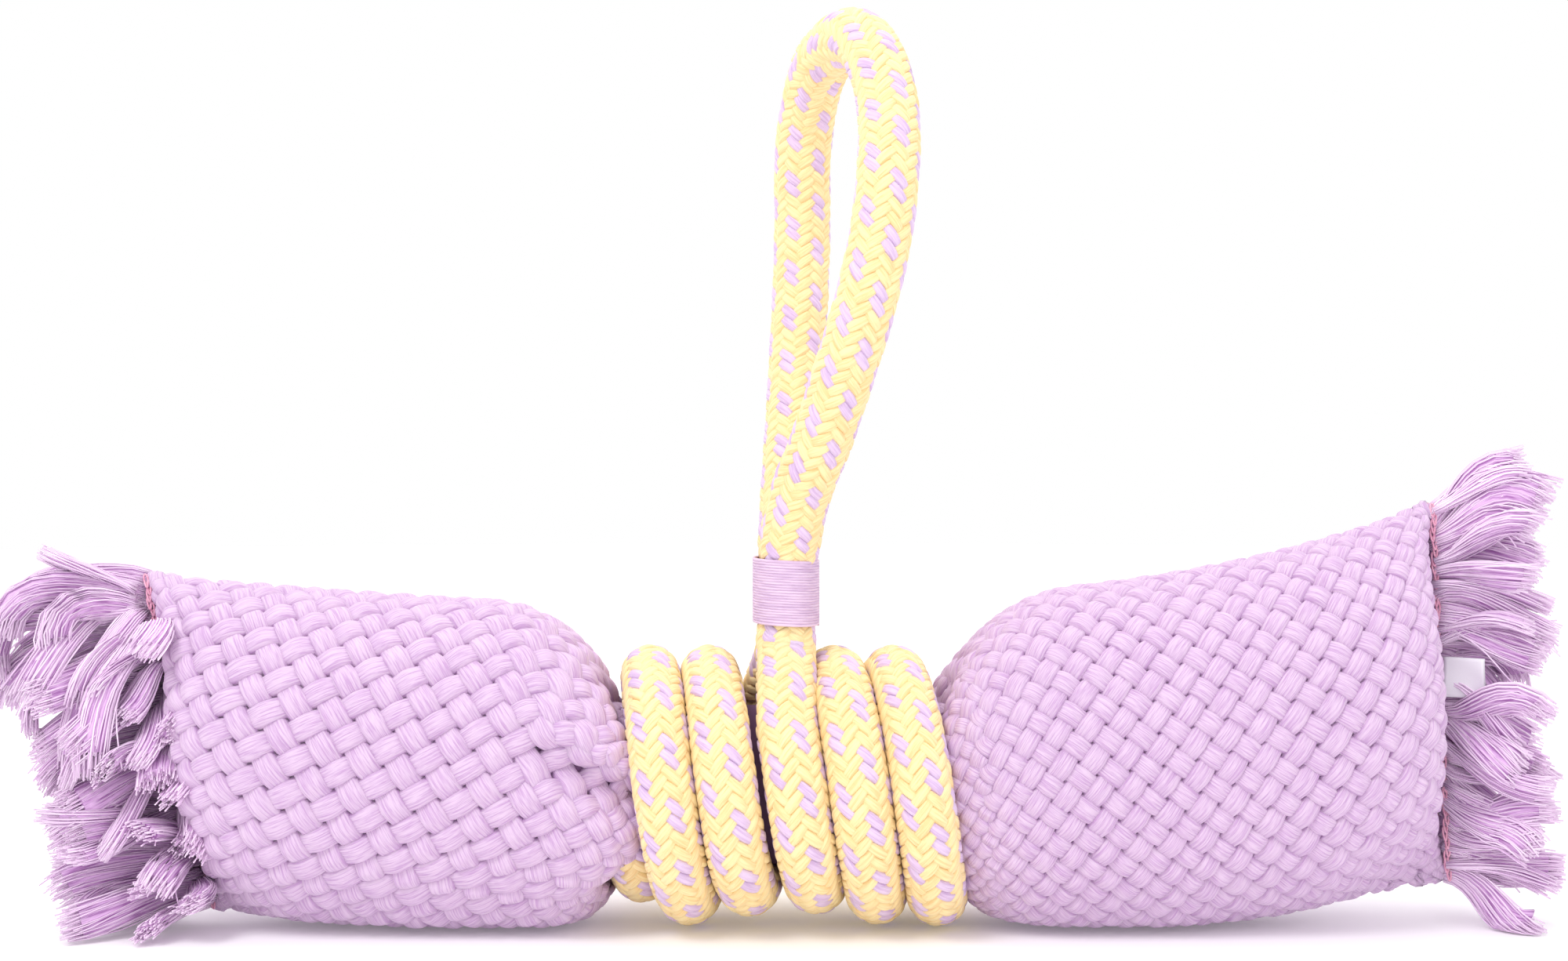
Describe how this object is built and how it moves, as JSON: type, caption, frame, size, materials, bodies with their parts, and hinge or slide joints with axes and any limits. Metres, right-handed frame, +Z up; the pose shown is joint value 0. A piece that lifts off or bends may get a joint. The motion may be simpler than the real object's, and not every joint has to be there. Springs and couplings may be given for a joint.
{
  "type": "rope and fabric dog tug toy",
  "caption": "Stuffed woven cotton tug toy, drawn in at the waist by a coiled braided rope that rises into a hand loop, with a fringe at each sewn end.",
  "frame": {"origin": "on the floor, under the middle of the toy's bounding box", "axes": "+X along the toy towards the labelled end, -Y to the front, +Z up through the hand loop"},
  "size_m": [0.398, 0.075, 0.2334],
  "materials": {
    "woven_cotton": "woven cotton, soft and matt",
    "stuffing": "fluffy polyester fibre, matt",
    "stitch_thread": "twisted polyester thread, slight sheen",
    "fringe_cotton": "loose cotton threads, soft and matt",
    "label_tape": "folded satin tape, blank",
    "braided_rope": "braided cotton with lilac flecks, matt",
    "rope_core": "straight cotton yarns, matt",
    "whipping_thread": "tightly wound cotton thread, matt"
  },
  "bodies": {
    "waist": {"cover_waist": "woven_cotton", "cover_neck_left": "woven_cotton", "cover_neck_right": "woven_cotton", "stuffing_waist": "stuffing", "stuffing_neck_left": "stuffing", "stuffing_neck_right": "stuffing", "rope_sheath_left": "braided_rope", "rope_core_left": "rope_core", "rope_sheath_right": "braided_rope", "rope_core_right": "rope_core"},
    "left_end": {"cover_left": "woven_cotton", "stuffing_left": "stuffing", "seam_stitches_left": "stitch_thread", "fringe_left_front": "fringe_cotton", "fringe_left_back": "fringe_cotton"},
    "right_end": {"cover_right": "woven_cotton", "stuffing_right": "stuffing", "seam_stitches_right": "stitch_thread", "fringe_right_front": "fringe_cotton", "fringe_right_back": "fringe_cotton", "label": "label_tape"},
    "loop_foot": {"whipping": "whipping_thread", "leg_sheaths": "braided_rope", "leg_cores": "rope_core"},
    "hand_loop": {"loop_sheath": "braided_rope", "loop_core": "rope_core"}
  },
  "joints": [
    {"name": "left_bend", "type": "hinge", "parent": "waist", "child": "left_end", "pos_m": [-0.044, 0, 0.036], "axis": [0, 1, 0], "range_deg": [-20, 30], "stiffness_Nm_per_rad": 2, "deforming": ["cover_neck_left", "stuffing_neck_left"]},
    {"name": "right_bend", "type": "hinge", "parent": "waist", "child": "right_end", "pos_m": [0.044, 0, 0.036], "axis": [0, -1, 0], "range_deg": [-20, 30], "stiffness_Nm_per_rad": 2, "deforming": ["cover_neck_right", "stuffing_neck_right"]},
    {"name": "loop_sway", "type": "hinge", "parent": "waist", "child": "loop_foot", "pos_m": [0.0005, 0, 0.0849], "axis": [0, 1, 0], "range_deg": [-30, 30], "stiffness_Nm_per_rad": 1.2},
    {"name": "loop_flop", "type": "hinge", "parent": "loop_foot", "child": "hand_loop", "pos_m": [0.0005, 0, 0.0849], "axis": [1, 0, 0], "range_deg": [-60, 60], "stiffness_Nm_per_rad": 1}
  ]
}
